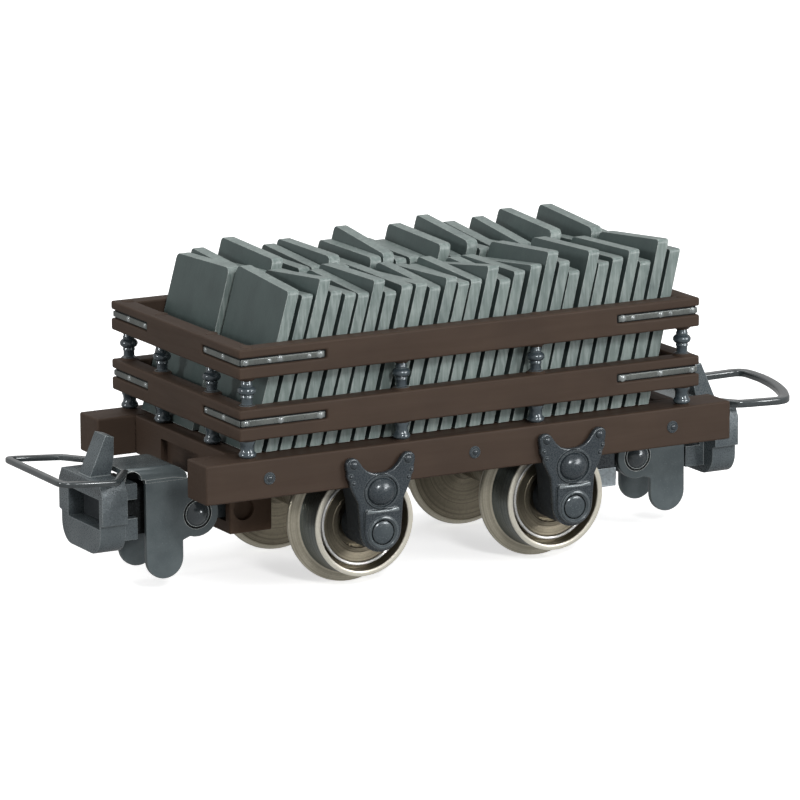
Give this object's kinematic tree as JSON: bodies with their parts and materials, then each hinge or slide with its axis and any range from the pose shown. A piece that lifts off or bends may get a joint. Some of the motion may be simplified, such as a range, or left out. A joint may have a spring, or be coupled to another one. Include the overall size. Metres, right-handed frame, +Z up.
{
  "type": "model flat car",
  "caption": "Narrow-gauge model slate wagon: flat timber frame, open railed sides on stanchions, slates on edge, iron axleguards, disc wheels and loop couplers.",
  "frame": {"origin": "on the plane of the wheel flanges' lowest points, under the middle of the wagon", "axes": "+X along the wagon towards the end with the bowed loop, +Y across it, +Z up"},
  "size_m": [0.0447, 0.0166, 0.0168],
  "materials": {
    "timber": "satin dark brown moulded plastic painted as timber",
    "ironwork": "satin blue-grey ironwork",
    "coupler": "satin dark grey moulding",
    "slate": "satin blue-grey with paler edges",
    "wheel": "turned nickel-coloured metal with brighter rims",
    "steel": "plain metal"
  },
  "bodies": {
    "frame": {"axleguard_left_far": "ironwork", "axleguard_left_near": "ironwork", "axleguard_right_far": "ironwork", "axleguard_right_near": "ironwork", "ballast_weight": "steel", "corner_stanchion_left_far": "ironwork", "corner_stanchion_left_near": "ironwork", "corner_stanchion_right_far": "ironwork", "corner_stanchion_right_near": "ironwork", "coupler_keeper_right": "steel", "coupler_pivot_pin_left": "steel", "coupler_pivot_pin_right": "steel", "coupler_pocket_left": "timber", "coupler_pocket_right": "timber", "end_stanchion_left_far": "ironwork", "end_stanchion_left_near": "ironwork", "end_stanchion_right_far": "ironwork", "end_stanchion_right_near": "ironwork", "floor_deck": "timber", "headstock_left": "timber", "headstock_right": "timber", "lower_corner_strap_left_far": "ironwork", "lower_corner_strap_left_near": "ironwork", "lower_corner_strap_right_far": "ironwork", "lower_corner_strap_right_near": "ironwork", "lower_end_rail_left": "timber", "lower_end_rail_right": "timber", "lower_side_rail_far": "timber", "lower_side_rail_near": "timber", "side_stanchion_left_far": "ironwork", "side_stanchion_left_near": "ironwork", "side_stanchion_right_far": "ironwork", "side_stanchion_right_near": "ironwork", "solebar_far": "timber", "solebar_near": "timber", "upper_corner_strap_left_far": "ironwork", "upper_corner_strap_left_near": "ironwork", "upper_corner_strap_right_far": "ironwork", "upper_corner_strap_right_near": "ironwork", "upper_end_rail_left": "timber", "upper_end_rail_right": "timber", "upper_side_rail_far": "timber", "upper_side_rail_near": "timber"},
    "load": {"slate_stack_near": "slate", "slate_stack_far": "slate"},
    "wheelset_left": {"axle_left": "steel", "wheel_left_near": "wheel", "wheel_left_far": "wheel"},
    "wheelset_right": {"axle_right": "steel", "wheel_right_near": "wheel", "wheel_right_far": "wheel"},
    "coupler_left_body": {"coupler_left": "coupler", "loop_rivet_left": "coupler"},
    "coupler_right_body": {"coupler_right": "coupler", "loop_rivet_right": "coupler"},
    "loop_left_body": {"coupling_loop_left": "coupler"},
    "loop_right_body": {"coupling_loop_right": "coupler"}
  },
  "joints": [
    {"name": "load_lift", "type": "slide", "parent": "frame", "child": "load", "axis": [0, 0, 1], "range_m": [0, 0.008]},
    {"name": "wheelset_left_spin", "type": "hinge", "parent": "frame", "child": "wheelset_left", "pos_m": [-0.00571, 0, 0.00351], "axis": [0, 1, 0], "continuous": true},
    {"name": "wheelset_right_spin", "type": "hinge", "parent": "frame", "child": "wheelset_right", "pos_m": [0.00571, 0, 0.00351], "axis": [0, 1, 0], "continuous": true},
    {"name": "coupler_left_swing", "type": "hinge", "parent": "frame", "child": "coupler_left_body", "pos_m": [-0.0102, 0, 0.00375], "axis": [0, 0, 1], "range_deg": [-6, 6]},
    {"name": "coupler_right_swing", "type": "hinge", "parent": "frame", "child": "coupler_right_body", "pos_m": [0.0102, 0, 0.00375], "axis": [0, 0, 1], "range_deg": [-6, 6]},
    {"name": "loop_left_lift", "type": "hinge", "parent": "coupler_left_body", "child": "loop_left_body", "pos_m": [-0.01325, 0, 0.004], "axis": [0, 1, 0], "range_deg": [0, 16]},
    {"name": "loop_right_lift", "type": "hinge", "parent": "coupler_right_body", "child": "loop_right_body", "pos_m": [0.01325, 0, 0.004], "axis": [0, -1, 0], "range_deg": [0, 16]}
  ]
}
